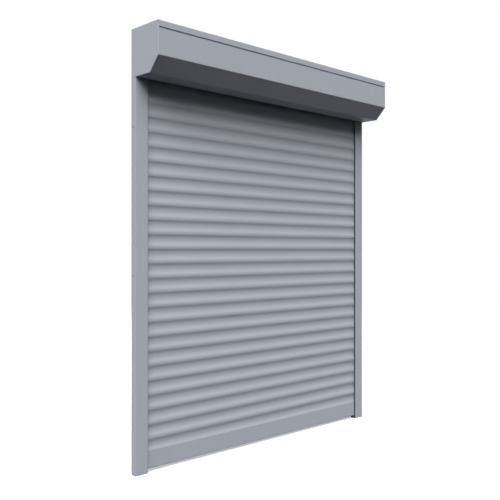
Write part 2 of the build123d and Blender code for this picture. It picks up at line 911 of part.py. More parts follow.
def build_parts():
    """Every piece of the shutter under the name of its node."""
    outer_race, inner_race, balls = bearing_pieces()
    motor_tube, motor_head = motor_pieces()
    spindle, drive_wheel = drive_pieces()
    plug = guide_plug()
    rail = guide_rail()
    gaskets = guide_gaskets()
    funnel = inlet_funnel()
    screw_up, screw_down = [limit_screw(place) for place in limit_screw_places()]
    parts = {
        "rear_panel": [rear_panel()],
        "inspection_cover": [inspection_cover()],
        "end_cap_right": [end_cap(bracket_size)],
        "end_cap_left": [other_side(end_cap(holder_size))],
        "guide_rail_right": [rail],
        "guide_rail_left": [other_side(rail)],
        "guide_gaskets_right": gaskets,
        "guide_gaskets_left": [other_side(strip_piece) for strip_piece in gaskets],
        "guide_plug_right": [plug],
        "guide_plug_left": [other_side(plug)],
        "inlet_funnel_right": [funnel],
        "inlet_funnel_left": [other_side(funnel)],
        "bottom_bar": [bottom_bar()],
        "bottom_seal": [bottom_seal()],
        "shaft_tube": [shaft_tube()],
        "roller_capsule": [roller_capsule()],
        "capsule_pin": [capsule_pin()],
        "bearing_outer_race": [outer_race],
        "bearing_inner_race": [inner_race],
        "bearing_balls": balls,
        "bearing_holder": [bearing_holder()],
        "motor_tube": [motor_tube],
        "motor_head": [motor_head],
        "motor_bracket": [motor_bracket()],
        "motor_spindle": [spindle],
        "drive_wheel": [drive_wheel],
        "crown_adapter": [crown_adapter()],
        "limit_screw_up": [screw_up],
        "limit_screw_down": [screw_down],
        "bracket_screws": bracket_screws(),
        "panel_screws": panel_screws(),
        "hanger_straps": hanger_straps(),
        "strap_clips": strap_clips(),
        "cable_grommet": [cable_grommet()],
    }
    for index in range(slat_count):
        parts[f"slat_{index + 1:02d}"] = [slat(bar_top + index * slat_pitch)]
    return parts


os.makedirs("parts", exist_ok=True)
for name, pieces in build_parts().items():
    solids = [solid for piece in pieces for solid in piece.solids()]
    export_step(solids[0] if len(solids) == 1 else Compound(solids), f"parts/{name}.step")
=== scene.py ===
# %% [markdown]
# This lesson dresses an exterior roller shutter. The construction comes ready made as a packed
# model, in metres, with the wall plane at y = 0, the front towards -y and z upwards. We keep every
# construction part where it is, give each one a real finish, and remodel those that show curves.

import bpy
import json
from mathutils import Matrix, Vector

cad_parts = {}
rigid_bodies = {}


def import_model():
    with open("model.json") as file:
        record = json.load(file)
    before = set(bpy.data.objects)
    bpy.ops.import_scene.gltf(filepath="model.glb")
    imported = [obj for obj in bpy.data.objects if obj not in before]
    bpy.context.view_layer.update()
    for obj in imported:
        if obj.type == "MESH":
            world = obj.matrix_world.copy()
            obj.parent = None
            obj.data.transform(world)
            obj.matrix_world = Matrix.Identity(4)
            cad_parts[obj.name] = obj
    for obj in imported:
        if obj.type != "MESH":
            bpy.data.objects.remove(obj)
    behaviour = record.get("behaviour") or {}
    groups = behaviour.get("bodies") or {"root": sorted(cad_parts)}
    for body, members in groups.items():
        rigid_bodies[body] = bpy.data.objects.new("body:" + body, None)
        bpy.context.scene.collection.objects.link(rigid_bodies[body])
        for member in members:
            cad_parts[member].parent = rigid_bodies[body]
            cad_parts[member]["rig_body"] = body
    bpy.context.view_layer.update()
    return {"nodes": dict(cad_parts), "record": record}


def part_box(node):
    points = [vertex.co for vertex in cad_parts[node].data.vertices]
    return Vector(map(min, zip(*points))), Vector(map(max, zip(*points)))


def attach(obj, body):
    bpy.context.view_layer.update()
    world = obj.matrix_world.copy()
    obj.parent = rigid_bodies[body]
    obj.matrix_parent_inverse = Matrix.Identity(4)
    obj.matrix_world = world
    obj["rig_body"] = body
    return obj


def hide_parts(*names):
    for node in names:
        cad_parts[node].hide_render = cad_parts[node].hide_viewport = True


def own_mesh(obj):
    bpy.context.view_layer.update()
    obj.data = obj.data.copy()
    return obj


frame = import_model()

import bmesh
import bpy
import json
import math
from mathutils import Euler, Vector

mm = 0.001
print("construction parts:", len(frame["nodes"]))

# %% [markdown]
# The photograph was taken level, from the front left and at about half the shutter's height. Its
# edges run to vanishing points that fix the lens, and known sizes then fix where the camera stood.
# A level camera keeps the upright edges upright, so no shift is needed.

# %% Camera
camera_data = bpy.data.cameras.new("camera")
camera_data.sensor_width = 36.0
camera_data.lens = 50.98
camera_data.clip_end = 200.0
camera = bpy.data.objects.new("camera", camera_data)
camera.location = (-1.7805, -1.7973, 0.6818)
camera.rotation_euler = Euler((math.radians(90), 0, math.radians(-43.78)))
bpy.context.scene.collection.objects.link(camera)
bpy.context.scene.camera = camera
bpy.context.scene.view_settings.view_transform = "Standard"
print("camera lens in mm:", camera_data.lens)

# %% [markdown]
# The studio is a pale floor under a soft sky. The sky is dim at the horizon and brighter overhead,
# as a row of soft boxes above a table is, so that faces that look down stay dark. A picture of a
# studio could light the scene as well, but two numbers are easier to tune. Rays that reach the
# camera straight away, or by way of a gloss or a glass, see plain white instead.

# %% Sky
sky_horizon = 0.05
sky_overhead = 0.6


def link(tree, start, end):
    """Joins an output socket to an input socket."""
    tree.links.new(start, end)


def add(tree, kind, **settings):
    """Adds a node to a tree and sets its properties."""
    node = tree.nodes.new(kind)
    for name, value in settings.items():
        setattr(node, name, value)
    return node


def combine(tree, operation, first, second, **settings):
    """Joins two sockets with a Math node and gives its result."""
    node = add(tree, "ShaderNodeMath", operation=operation, **settings)
    link(tree, first, node.inputs[0])
    link(tree, second, node.inputs[1])
    return node.outputs[0]


def seen_ray(tree, *kinds):
    """1 for the kinds of ray that show the background, and 0 for the light that bounces."""
    path = add(tree, "ShaderNodeLightPath")
    total = path.outputs[kinds[0]]
    for kind in kinds[1:]:
        total = combine(tree, "MAXIMUM", total, path.outputs[kind])
    return total


def build_sky():
    """A world that lights softly from above and shows white to the camera."""
    world = bpy.data.worlds.new("studio_sky")
    world.use_nodes = True
    tree = world.node_tree
    tree.nodes.clear()
    place = add(tree, "ShaderNodeTexCoord")
    height = add(tree, "ShaderNodeSeparateXYZ")
    strength = add(tree, "ShaderNodeMapRange")
    strength.inputs["To Min"].default_value = sky_horizon
    strength.inputs["To Max"].default_value = sky_overhead
    light = add(tree, "ShaderNodeBackground")
    light.inputs["Color"].default_value = (1, 1, 1, 1)
    white = add(tree, "ShaderNodeBackground")
    white.inputs["Color"].default_value = (1, 1, 1, 1)
    mix = add(tree, "ShaderNodeMixShader")
    out = add(tree, "ShaderNodeOutputWorld")
    link(tree, place.outputs["Generated"], height.inputs[0])
    link(tree, height.outputs["Z"], strength.inputs["Value"])
    link(tree, strength.outputs["Result"], light.inputs["Strength"])
    seen = seen_ray(tree, "Is Camera Ray", "Is Glossy Ray", "Is Transmission Ray")
    link(tree, seen, mix.inputs["Fac"])
    link(tree, light.outputs[0], mix.inputs[1])
    link(tree, white.outputs[0], mix.inputs[2])
    link(tree, mix.outputs[0], out.inputs["Surface"])
    bpy.context.scene.world = world


build_sky()
print("sky strength from the horizon up:", sky_horizon, "to", sky_overhead)

# %% [markdown]
# One wide soft box hangs high at the front left, far off, so its light hardly falls away across the
# shutter. It lights the front and the left end alike, leaves the slope and the underside of the box
# in shade, and lets the box throw a soft shadow that fades down the curtain. Several small lamps
# would each throw a shadow of their own. A weaker soft box stands low behind at the right, out of
# the photograph's sight, and keeps the back from going black in other views.

# %% Lamps
lamp_distance = 30.0
lamp_aim = Vector((0, 0, 0.7))


def build_lamp(name, watts, width, height, left, above):
    """A soft box that looks at the middle of the shutter; left and above are its angles."""
    data = bpy.data.lights.new(name, "AREA")
    data.shape = "RECTANGLE"
    data.size = width
    data.size_y = height
    data.energy = watts
    turn, lift = math.radians(left), math.radians(above)
    level = math.cos(lift)
    way = Vector((-math.sin(turn) * level, -math.cos(turn) * level, math.sin(lift)))
    lamp = bpy.data.objects.new(name, data)
    lamp.location = lamp_aim + way * lamp_distance
    lamp.rotation_euler = (-way).to_track_quat("-Z", "Y").to_euler()
    bpy.context.scene.collection.objects.link(lamp)
    print(name, "watts:", watts, "degrees above the floor:", above)


build_lamp("key_soft_box", watts=21200, width=34, height=28, left=47, above=50)
build_lamp("rear_soft_box", watts=5500, width=30, height=20, left=-135, above=15)

# %% [markdown]
# The floor keeps the shutter's shadow. To the camera it is almost white near the shutter. Far off,
# where the lamps no longer reach, it glows plain white, so that no horizon shows. To light that
# bounces it is dark, so that it doesn't fill the underside of the box.

# %% Floor
floor_reach = 30.0
floor_drop = 0.2 * mm
floor_seen = 0.93
floor_bounce = 0.012
white_from = 3.0
white_beyond = 7.0


def mesh_from(bm, name):
    """Writes a finished bmesh into a new mesh."""
    mesh = bpy.data.meshes.new(name)
    bm.to_mesh(mesh)
    bm.free()
    return mesh


def build_floor():
    """Large plane just under the feet of the guide rails."""
    bm = bmesh.new()
    bmesh.ops.create_grid(bm, x_segments=1, y_segments=1, size=floor_reach)
    bmesh.ops.translate(bm, verts=bm.verts[:], vec=(0, 0, -floor_drop))
    mesh = mesh_from(bm, "studio_floor")
    floor = bpy.data.objects.new("studio_floor", mesh)
    bpy.context.scene.collection.objects.link(floor)
    material = bpy.data.materials.new("studio_floor")
    material.use_nodes = True
    tree = material.node_tree
    tree.nodes.clear()
    pale = add(tree, "ShaderNodeBsdfDiffuse")
    pale.inputs["Color"].default_value = (floor_seen, floor_seen, floor_seen, 1)
    dark = add(tree, "ShaderNodeBsdfDiffuse")
    dark.inputs["Color"].default_value = (floor_bounce, floor_bounce, floor_bounce, 1)
    glow = add(tree, "ShaderNodeEmission")
    place = add(tree, "ShaderNodeTexCoord")
    away = add(tree, "ShaderNodeVectorMath", operation="LENGTH")
    far_off = add(tree, "ShaderNodeMapRange", interpolation_type="SMOOTHSTEP")
    far_off.inputs["From Min"].default_value = white_from
    far_off.inputs["From Max"].default_value = white_beyond
    shown = add(tree, "ShaderNodeMixShader")
    mix = add(tree, "ShaderNodeMixShader")
    out = add(tree, "ShaderNodeOutputMaterial")
    link(tree, place.outputs["Object"], away.inputs[0])
    link(tree, away.outputs["Value"], far_off.inputs["Value"])
    link(tree, far_off.outputs["Result"], shown.inputs["Fac"])
    link(tree, pale.outputs[0], shown.inputs[1])
    link(tree, glow.outputs[0], shown.inputs[2])
    link(tree, seen_ray(tree, "Is Camera Ray", "Is Glossy Ray"), mix.inputs["Fac"])
    link(tree, dark.outputs[0], mix.inputs[1])
    link(tree, shown.outputs[0], mix.inputs[2])
    link(tree, mix.outputs[0], out.inputs["Surface"])
    mesh.materials.append(material)


build_floor()
print("floor reaches to metres:", floor_reach)

# %% [markdown]
# Several finishes share the same small effects, so each effect is a node group with named inputs
# and outputs, built once. The first is the texture of a sprayed coat: a fine orange peel for the
# bump, and broad soft patches where the coat lies a little thicker.

# %% Effect: sprayed coat
def new_group(name, inputs, outputs):
    """Empty node group with its sockets, its input node and its output node."""
    group = bpy.data.node_groups.new(name, "ShaderNodeTree")
    for label, kind, value in inputs:
        socket = group.interface.new_socket(label, in_out="INPUT", socket_type=kind)
        socket.default_value = value
    for label in outputs:
        group.interface.new_socket(label, in_out="OUTPUT", socket_type="NodeSocketFloat")
    return group, group.nodes.new("NodeGroupInput"), group.nodes.new("NodeGroupOutput")


def sprayed_coat_group():
    """Orange peel height and broad mottling of a sprayed coat."""
    group, start, end = new_group(
        "sprayed_coat",
        [("Peel Scale", "NodeSocketFloat", 900.0), ("Patch Scale", "NodeSocketFloat", 3.0)],
        ["Peel", "Patches"],
    )
    place = add(group, "ShaderNodeTexCoord")
    peel = add(group, "ShaderNodeTexNoise")
    peel.inputs["Detail"].default_value = 3.0
    peel.inputs["Roughness"].default_value = 0.45
    patches = add(group, "ShaderNodeTexNoise")
    patches.inputs["Detail"].default_value = 4.0
    patches.inputs["Roughness"].default_value = 0.6
    link(group, place.outputs["Object"], peel.inputs["Vector"])
    link(group, place.outputs["Object"], patches.inputs["Vector"])
    link(group, start.outputs["Peel Scale"], peel.inputs["Scale"])
    link(group, start.outputs["Patch Scale"], patches.inputs["Scale"])
    link(group, peel.outputs["Fac"], end.inputs["Peel"])
    link(group, patches.outputs["Fac"], end.inputs["Patches"])
    return group


sprayed_coat = sprayed_coat_group()
print("effect:", sprayed_coat.name)

# %% [markdown]
# The second effect is weather. Dust settles on faces that look up, in uneven patches, and rain
# leaves faint upright runs. Both are masks, so each finish decides how much of them it shows.

# %% Effect: weather
def weather_group():
    """Masks of settled dust and of upright rain marks."""
    group, start, end = new_group(
        "weather",
        [("Dust Scale", "NodeSocketFloat", 14.0), ("Run Scale", "NodeSocketFloat", 45.0)],
        ["Dust", "Runs"],
    )
    place = add(group, "ShaderNodeTexCoord")
    shape = add(group, "ShaderNodeNewGeometry")
    facing = add(group, "ShaderNodeSeparateXYZ")
    level = add(group, "ShaderNodeMapRange")
    level.inputs["From Min"].default_value = 0.25
    level.inputs["From Max"].default_value = 0.95
    dust = add(group, "ShaderNodeTexNoise")
    dust.inputs["Detail"].default_value = 6.0
    dust.inputs["Roughness"].default_value = 0.65
    stretch = add(group, "ShaderNodeMapping")
    stretch.inputs["Scale"].default_value = (1, 1, 0.03)
    runs = add(group, "ShaderNodeTexNoise")
    runs.inputs["Detail"].default_value = 4.0
    keep = add(group, "ShaderNodeMapRange")
    keep.inputs["From Min"].default_value = 0.5
    keep.inputs["From Max"].default_value = 0.78
    link(group, place.outputs["Object"], dust.inputs["Vector"])
    link(group, start.outputs["Dust Scale"], dust.inputs["Scale"])
    link(group, shape.outputs["Normal"], facing.inputs[0])
    link(group, facing.outputs["Z"], level.inputs["Value"])
    dusty = combine(group, "MULTIPLY", level.outputs["Result"], dust.outputs["Fac"])
    link(group, place.outputs["Object"], stretch.inputs["Vector"])
    link(group, stretch.outputs["Vector"], runs.inputs["Vector"])
    link(group, start.outputs["Run Scale"], runs.inputs["Scale"])
    link(group, runs.outputs["Fac"], keep.inputs["Value"])
    link(group, dusty, end.inputs["Dust"])
    link(group, keep.outputs["Result"], end.inputs["Runs"])
    return group


weather = weather_group()
print("effect:", weather.name)

# %% [markdown]
# The third effect is the fine grain that rolling, drawing or grinding leaves in metal. The noise is
# stretched along the way the metal went through the machine, which each finish states.

# %% Effect: drawn grain
def drawn_grain_group():
    """Height of fine lines along one direction."""
    group, start, end = new_group(
        "drawn_grain",
        [("Stretch", "NodeSocketVector", (1, 60, 60)), ("Scale", "NodeSocketFloat", 30.0)],
        ["Lines"],
    )
    place = add(group, "ShaderNodeTexCoord")
    stretch = add(group, "ShaderNodeMapping")
    lines = add(group, "ShaderNodeTexNoise")
    lines.inputs["Detail"].default_value = 5.0
    lines.inputs["Roughness"].default_value = 0.7
    link(group, place.outputs["Object"], stretch.inputs["Vector"])
    link(group, start.outputs["Stretch"], stretch.inputs["Scale"])
    link(group, stretch.outputs["Vector"], lines.inputs["Vector"])
    link(group, start.outputs["Scale"], lines.inputs["Scale"])
    link(group, lines.outputs["Fac"], end.inputs["Lines"])
    return group


drawn_grain = drawn_grain_group()
print("effect:", drawn_grain.name)

# %% [markdown]
# The fourth effect is the spangle of hot-dip zinc: crystals a few millimetres across, each with its
# own tone. A Voronoi texture gives every cell one random value, which is just that.

# %% Effect: zinc spangle
def zinc_spangle_group():
    """Tone of each zinc crystal."""
    group, start, end = new_group(
        "zinc_spangle", [("Crystal Scale", "NodeSocketFloat", 260.0)], ["Crystal", "Edge"]
    )
    place = add(group, "ShaderNodeTexCoord")
    warp = add(group, "ShaderNodeTexNoise")
    warp.inputs["Scale"].default_value = 120.0
    bend = add(group, "ShaderNodeMixRGB", blend_type="ADD")
    bend.inputs["Fac"].default_value = 0.006
    cells = add(group, "ShaderNodeTexVoronoi")
    tone = add(group, "ShaderNodeSeparateColor")
    link(group, place.outputs["Object"], warp.inputs["Vector"])
    link(group, place.outputs["Object"], bend.inputs["Color1"])
    link(group, warp.outputs["Color"], bend.inputs["Color2"])
    link(group, bend.outputs["Color"], cells.inputs["Vector"])
    link(group, start.outputs["Crystal Scale"], cells.inputs["Scale"])
    link(group, cells.outputs["Color"], tone.inputs["Color"])
    link(group, tone.outputs["Red"], end.inputs["Crystal"])
    link(group, cells.outputs["Distance"], end.inputs["Edge"])
    return group


zinc_spangle = zinc_spangle_group()
print("effect:", zinc_spangle.name)

# %% [markdown]
# The last effect is painted shade in a seam. Its mask is 1 between two heights on the front
# of the box and fades out at both edges, so a finish can paint the hinge seam as dark as its
# shadow.

# %% Effect: painted seam shade
def painted_seam_shade_group():
    """Mask of painted shade in a level seam, in front of a given depth."""
    group, start, end = new_group(
        "painted_seam_shade",
        [
            ("Low", "NodeSocketFloat", 0.0),
            ("High", "NodeSocketFloat", 1.0),
            ("Front", "NodeSocketFloat", 0.0),
            ("Fade", "NodeSocketFloat", 0.001),
        ],
        ["Dirt"],
    )
    place = add(group, "ShaderNodeTexCoord")
    parts = add(group, "ShaderNodeSeparateXYZ")
    link(group, place.outputs["Object"], parts.inputs[0])
    shares = []
    for more, less in (
        (parts.outputs["Z"], start.outputs["Low"]),
        (start.outputs["High"], parts.outputs["Z"]),
        (start.outputs["Front"], parts.outputs["Y"]),
    ):
        inside = combine(group, "SUBTRACT", more, less)
        shares.append(combine(group, "DIVIDE", inside, start.outputs["Fade"], use_clamp=True))
    total = shares[0]
    for share in shares[1:]:
        total = combine(group, "MULTIPLY", total, share)
    link(group, total, end.inputs["Dirt"])
    return group


painted_seam_shade = painted_seam_shade_group()
print("effect:", painted_seam_shade.name)

# %% [markdown]
# Every finish starts from the same bench: a material with a Principled shader, kept by its name,
# plus helpers that place a group, blend two colours by a mask, let the roughness follow a mask, and
# turn a height into a bump. A Mix node has sockets for several kinds of data, so the three that
# belong to colours are picked by their numbers.

# %% Finish bench
finishes = {}
mix_first, mix_second, mix_result = 6, 7, 2


def new_finish(name, metallic=0.0, gloss=0.5):
    """Starts a material with a Principled shader; gives its tree and its shader."""
    material = bpy.data.materials.new(name)
    material.use_nodes = True
    finishes[name] = material
    tree = material.node_tree
    shader = tree.nodes["Principled BSDF"]
    shader.inputs["Metallic"].default_value = metallic
    shader.inputs["Specular IOR Level"].default_value = gloss
    return tree, shader


def place_group(tree, group, **values):
    """Places a node group and sets its inputs; Peel_Scale stands for Peel Scale."""
    node = add(tree, "ShaderNodeGroup", node_tree=group)
    for name, value in values.items():
        node.inputs[name.replace("_", " ")].default_value = value
    return node


def blend_colours(tree, mask, first, second):
    """Colour that runs from the first to the second as the mask goes from 0 to 1."""
    mix = add(tree, "ShaderNodeMix", data_type="RGBA")
    link(tree, mask, mix.inputs["Factor"])
    for value, socket in ((first, mix.inputs[mix_first]), (second, mix.inputs[mix_second])):
        if isinstance(value, tuple):
            socket.default_value = (*value, 1)
        else:
            link(tree, value, socket)
    return mix.outputs[mix_result]


def scaled(tree, value, low, high):
    """Runs a 0 to 1 value between two others."""
    ramp = add(tree, "ShaderNodeMapRange")
    ramp.inputs["To Min"].default_value = low
    ramp.inputs["To Max"].default_value = high
    link(tree, value, ramp.inputs["Value"])
    return ramp.outputs["Result"]


def vary_roughness(tree, shader, mask, roughness, change):
    """Lets the roughness follow a mask, by a change to either side."""
    rough = scaled(tree, mask, roughness - change, roughness + change)
    link(tree, rough, shader.inputs["Roughness"])


def bump(tree, shader, height, depth):
    """Bump of the shader's surface, its depth in metres."""
    node = add(tree, "ShaderNodeBump")
    node.inputs["Strength"].default_value = 1.0
    node.inputs["Distance"].default_value = depth
    link(tree, height, node.inputs["Height"])
    link(tree, node.outputs["Normal"], shader.inputs["Normal"])


def tones(colour, spread):
    """Two neighbours of a colour, one darker and one lighter."""
    return tuple(c * (1 - spread) for c in colour), tuple(c * (1 + spread) for c in colour)


# %% [markdown]
# The visible metal is aluminium in one light grey-blue. Panels, caps and rails are powder coated,
# which gives a satin film with a fine peel. The same function makes each of them, with its own
# roughness and patch size, so that neighbouring parts are related but not identical.

# %% Finish: powder coat
coat_colour = (0.352, 0.372, 0.420)
coat_gloss = 0.05
coat_mottle = 0.022
coat_sheen_change = 0.05
coat_peel_depth = 0.03 * mm
dust_colour = (0.46, 0.45, 0.42)
run_colour = (0.29, 0.305, 0.34)
# The seam colour is painted shade: the coat is drawn darker in the hinge seam, where its gap lies
# in shadow.
seam_shade_colour = (0.25, 0.265, 0.30)
hinge_seam = {"Low": 1324.6 * mm, "High": 1332.1 * mm, "Front": -125 * mm, "Fade": 1.5 * mm}


def dusted(tree, colour, marks, amount):
    """Colour with some settled dust over it."""
    mask = scaled(tree, marks.outputs["Dust"], 0, amount)
    return blend_colours(tree, mask, colour, dust_colour)


def powder_coat(name, roughness, patch_scale, dust, runs, peel_depth=coat_peel_depth, seam=None):
    """Satin powder coat with orange peel, soft patches, dust on top and faint rain marks."""
    tree, shader = new_finish(name, gloss=coat_gloss)
    texture = place_group(tree, sprayed_coat, Patch_Scale=patch_scale)
    marks = place_group(tree, weather)
    patches = texture.outputs["Patches"]
    colour = blend_colours(tree, patches, *tones(coat_colour, coat_mottle))
    colour = blend_colours(tree, scaled(tree, marks.outputs["Runs"], 0, runs), colour, run_colour)
    colour = dusted(tree, colour, marks, dust)
    # A given seam gets painted shade, a darker coat colour where the hinge gap lies in shadow.
    if seam:
        shade_mask = place_group(tree, painted_seam_shade, **seam)
        colour = blend_colours(tree, shade_mask.outputs["Dirt"], colour, seam_shade_colour)
    link(tree, colour, shader.inputs["Base Color"])
    vary_roughness(tree, shader, patches, roughness, coat_sheen_change)
    bump(tree, shader, texture.outputs["Peel"], peel_depth)


# %% [markdown]
# The slats are roll formed from strip that was coated flat, so their coat is smoother than powder
# and shows faint lines along the slat, the way the strip ran through the rollers.

# %% Finish: coated strip
strip_roughness = 0.42
strip_sheen_change = 0.06
strip_mottle = 0.02
strip_dust = 0.25
strip_grain_depth = 0.012 * mm


def coated_strip(name):
    """Stove-enamelled strip with a faint rolled grain along the slat."""
    tree, shader = new_finish(name, gloss=coat_gloss)
    texture = place_group(tree, sprayed_coat, Patch_Scale=5.0)
    grain = place_group(tree, drawn_grain, Stretch=(1, 90, 90), Scale=8.0)
    marks = place_group(tree, weather)
    lines = grain.outputs["Lines"]
    darker, lighter = tones(coat_colour, strip_mottle)
    colour = blend_colours(tree, texture.outputs["Patches"], darker, lighter)
    colour = dusted(tree, colour, marks, strip_dust)
    link(tree, colour, shader.inputs["Base Color"])
    vary_roughness(tree, shader, lines, strip_roughness, strip_sheen_change)
    bump(tree, shader, lines, strip_grain_depth)


# %% [markdown]
# The mechanism holds bare metals. Zinc sheet has its spangle. Spring steel, ground steel and drawn
# aluminium differ only in tone, roughness and the way their lines run, so one function takes those.

# %% Finish: bare metals
zinc_tones = (0.42, 0.44, 0.47), (0.62, 0.64, 0.67)
zinc_roughness = 0.43
zinc_sheen_change = 0.09
spangle_depth = 0.02 * mm
metal_sheen_change = 0.08
metal_grain_depth = 0.01 * mm


def zinc_sheet(name):
    """Hot-dip galvanised sheet with its spangle."""
    tree, shader = new_finish(name, metallic=1.0)
    spangle = place_group(tree, zinc_spangle)
    crystals = spangle.outputs["Crystal"]
    link(tree, blend_colours(tree, crystals, *zinc_tones), shader.inputs["Base Color"])
    vary_roughness(tree, shader, crystals, zinc_roughness, zinc_sheen_change)
    bump(tree, shader, spangle.outputs["Edge"], spangle_depth)


def grained_metal(name, colour, spread, roughness, stretch, scale):
    """Bare metal with fine lines along the way it was worked."""
    tree, shader = new_finish(name, metallic=1.0)
    grain = place_group(tree, drawn_grain, Stretch=stretch, Scale=scale)
    lines = grain.outputs["Lines"]
    mixed = blend_colours(tree, lines, *tones(colour, spread))
    link(tree, mixed, shader.inputs["Base Color"])
    vary_roughness(tree, shader, lines, roughness, metal_sheen_change)
    bump(tree, shader, lines, metal_grain_depth)


# %% [markdown]
# Seals, plugs and funnels are rubber and moulded plastic. Both get a fine surface texture: matt and
# dusty on the rubber, a spark-eroded grain on the plastic.

# %% Finish: rubber and moulded plastic
moulded_mottle = 0.12
moulded_sheen_change = 0.06


def moulded(name, colour, roughness, grain_scale, grain_depth, dust):
    """Rubber or plastic with a moulded grain and a little dust."""
    tree, shader = new_finish(name)
    texture = place_group(tree, sprayed_coat, Peel_Scale=grain_scale, Patch_Scale=20.0)
    marks = place_group(tree, weather, Dust_Scale=30.0)
    patches = texture.outputs["Patches"]
    mixed = blend_colours(tree, patches, *tones(colour, moulded_mottle))
    mixed = dusted(tree, mixed, marks, dust)
    link(tree, mixed, shader.inputs["Base Color"])
    vary_roughness(tree, shader, patches, roughness, moulded_sheen_change)
    bump(tree, shader, texture.outputs["Peel"], grain_depth)


# %% [markdown]
# Every construction part names the finish it belongs to. So the finishes are all made here, and one
# loop gives each part its own, also the parts inside the box, which show when the cover is open.

# %% Finishes of the shutter
powder_coat("coated_panel", roughness=0.46, patch_scale=3, dust=0.5, runs=0.10, seam=hinge_seam)
powder_coat("coated_cap", roughness=0.50, patch_scale=6, dust=0.5, runs=0.06, peel_depth=0.04 * mm)
powder_coat("coated_rail", roughness=0.46, patch_scale=4, dust=0.4, runs=0.10)
powder_coat("coated_bar", roughness=0.46, patch_scale=5, dust=0.4, runs=0.04)
coated_strip("coated_slat")
zinc_sheet("galvanised_steel")
for name, colour, roughness, grain_scale, grain_depth, dust in (
    ("black_rubber", (0.018, 0.018, 0.020), 0.75, 1500, 0.03 * mm, 0.3),
    ("black_plastic", (0.022, 0.022, 0.025), 0.50, 1200, 0.03 * mm, 0.3),
    ("grey_plastic", (0.33, 0.34, 0.35), 0.45, 900, 0.02 * mm, 0.3),
    ("motor_plastic", (0.045, 0.045, 0.050), 0.50, 1100, 0.03 * mm, 0.2),
    ("adjuster", (0.80, 0.62, 0.06), 0.40, 900, 0.01 * mm, 0.1),
):
    moulded(name, colour, roughness, grain_scale, grain_depth, dust)
for name, colour, spread, roughness, stretch, scale in (
    ("spring_steel", (0.24, 0.26, 0.30), 0.15, 0.38, (60, 1, 1), 20),
    ("bearing_steel", (0.62, 0.62, 0.63), 0.06, 0.22, (80, 1, 1), 30),
    ("motor_casing", (0.72, 0.73, 0.74), 0.05, 0.34, (1, 60, 60), 16),
    ("zinc_screw", (0.60, 0.60, 0.57), 0.08, 0.30, (1, 1, 60), 40),
):
    grained_metal(name, colour, spread, roughness, stretch, scale)
for part in frame["record"]["subparts"]:
    mesh = frame["nodes"][part["node"]].data
    mesh.materials.clear()
    mesh.materials.append(finishes[part["material_slot"]])
print("finishes:", len(finishes))

# %% [markdown]
# A slat is a roll-formed profile: one outline, the same from end to end. So we draw the outline
# once and extrude it. Straight runs come from extruding a vertex, and arcs from spinning one about
# the arc's centre, which bmesh draws as a chain of edges. Three places on an arc fix its centre.

# %% Drawing a section
section_steps = 14
corner_steps = 4
merge_within = 0.005 * mm


def place_at(y, z):
    """Place on a section; the section is drawn at x = 0."""
    return Vector((0, y, z))


def verts_in(items):
    """The vertices among the things that an operator made."""
    return [item for item in items if isinstance(item, bmesh.types.BMVert)]


def lines_to(bm, vert, *places):
    """Extrudes a vertex in straight lines from place to place and gives the new end."""
    for place in places:
        vert = bmesh.ops.extrude_vert_indiv(bm, verts=[vert])["verts"][0]
        bmesh.ops.translate(bm, verts=[vert], vec=place - vert.co)
    return vert


def arc_centre(first, middle, last):
    """Centre of the circle through three places of a section."""
    a = middle - first
    b = last - first
    across = a.cross(b)
    turned = across.cross(b.length_squared * a - a.length_squared * b)
    return first + turned / (2 * across.length_squared)


def arc_to(bm, vert, middle, last, steps=section_steps):
    """Spins a vertex round the arc, under half a turn, through a middle place to the last one."""
    centre = arc_centre(vert.co, middle, last)
    start = vert.co - centre
    stop = last - centre
    spun = bmesh.ops.spin(
        bm, geom=[vert], cent=centre, axis=start.cross(stop).normalized(), dvec=(0, 0, 0),
        angle=start.angle(stop), steps=steps, use_merge=False, use_normal_flip=False,
        use_duplicate=False,
    )
    return verts_in(spun["geom_last"])[0]


def corner_cut(radius):
    """How far in from both sides the middle of a rounded corner lies."""
    return radius * (1 - math.sqrt(0.5))


def pull_edges(bm, edges, way):
    """Extrudes edges into walls along a way."""
    pulled = bmesh.ops.extrude_edge_only(bm, edges=edges)["geom"]
    bmesh.ops.translate(bm, verts=verts_in(pulled), vec=way)


def close_mesh(bm):
    """Fills the open rims and points all faces outwards."""
    bmesh.ops.holes_fill(bm, edges=[edge for edge in bm.edges if edge.is_boundary], sides=0)
    bmesh.ops.recalc_face_normals(bm, faces=bm.faces[:])


def lengthen(bm, start, way):
    """Closes the drawn outlines, moves them to their start and extrudes them along a way."""
    bmesh.ops.remove_doubles(bm, verts=bm.verts[:], dist=merge_within)
    bmesh.ops.translate(bm, verts=bm.verts[:], vec=start)
    pull_edges(bm, bm.edges[:], way)
    close_mesh(bm)


def along_x(low, high):
    """Start and way of a piece that runs from one place along x to another."""
    return (low.x, 0, 0), (high.x - low.x, 0, 0)


def repeat(bm, ways):
    """Sets a copy of all that is drawn at the end of each way."""
    first = bm.verts[:] + bm.edges[:] + bm.faces[:]
    for way in ways:
        copy = bmesh.ops.duplicate(bm, geom=first)["geom"]
        bmesh.ops.translate(bm, verts=verts_in(copy), vec=way)


# %% [markdown]
# The pieces that stand for construction parts all end the same way: the mesh goes into an object at
# the origin, gets its finish, is shaded smooth except at real corners, rides on its body, and hides
# the part that it replaces.

# %% Handing a piece over
corner_angle = math.radians(28)


def finish_piece(name, mesh, slot_name, node):
    """Makes the object of a mesh that stands for a construction part."""
    mesh.materials.append(finishes[slot_name])
    mesh.shade_smooth()
    mesh.set_sharp_from_angle(angle=corner_angle)
    piece = bpy.data.objects.new(name, mesh)
    bpy.context.scene.collection.objects.link(piece)
    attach(piece, frame["nodes"][node]["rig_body"])
    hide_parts(node)
    return piece


# %% [markdown]
# The slat's face is a shallow wave: a full nose at the foot, and a long hollow up to the hook. How
# light changes up a slat in the photograph gives the slope of the wave at each height. Its places
# are shares of the slat's depth, from -0.5 at the front to 0.5 at the back, and of its pitch. Pitch
# and length come from the construction.

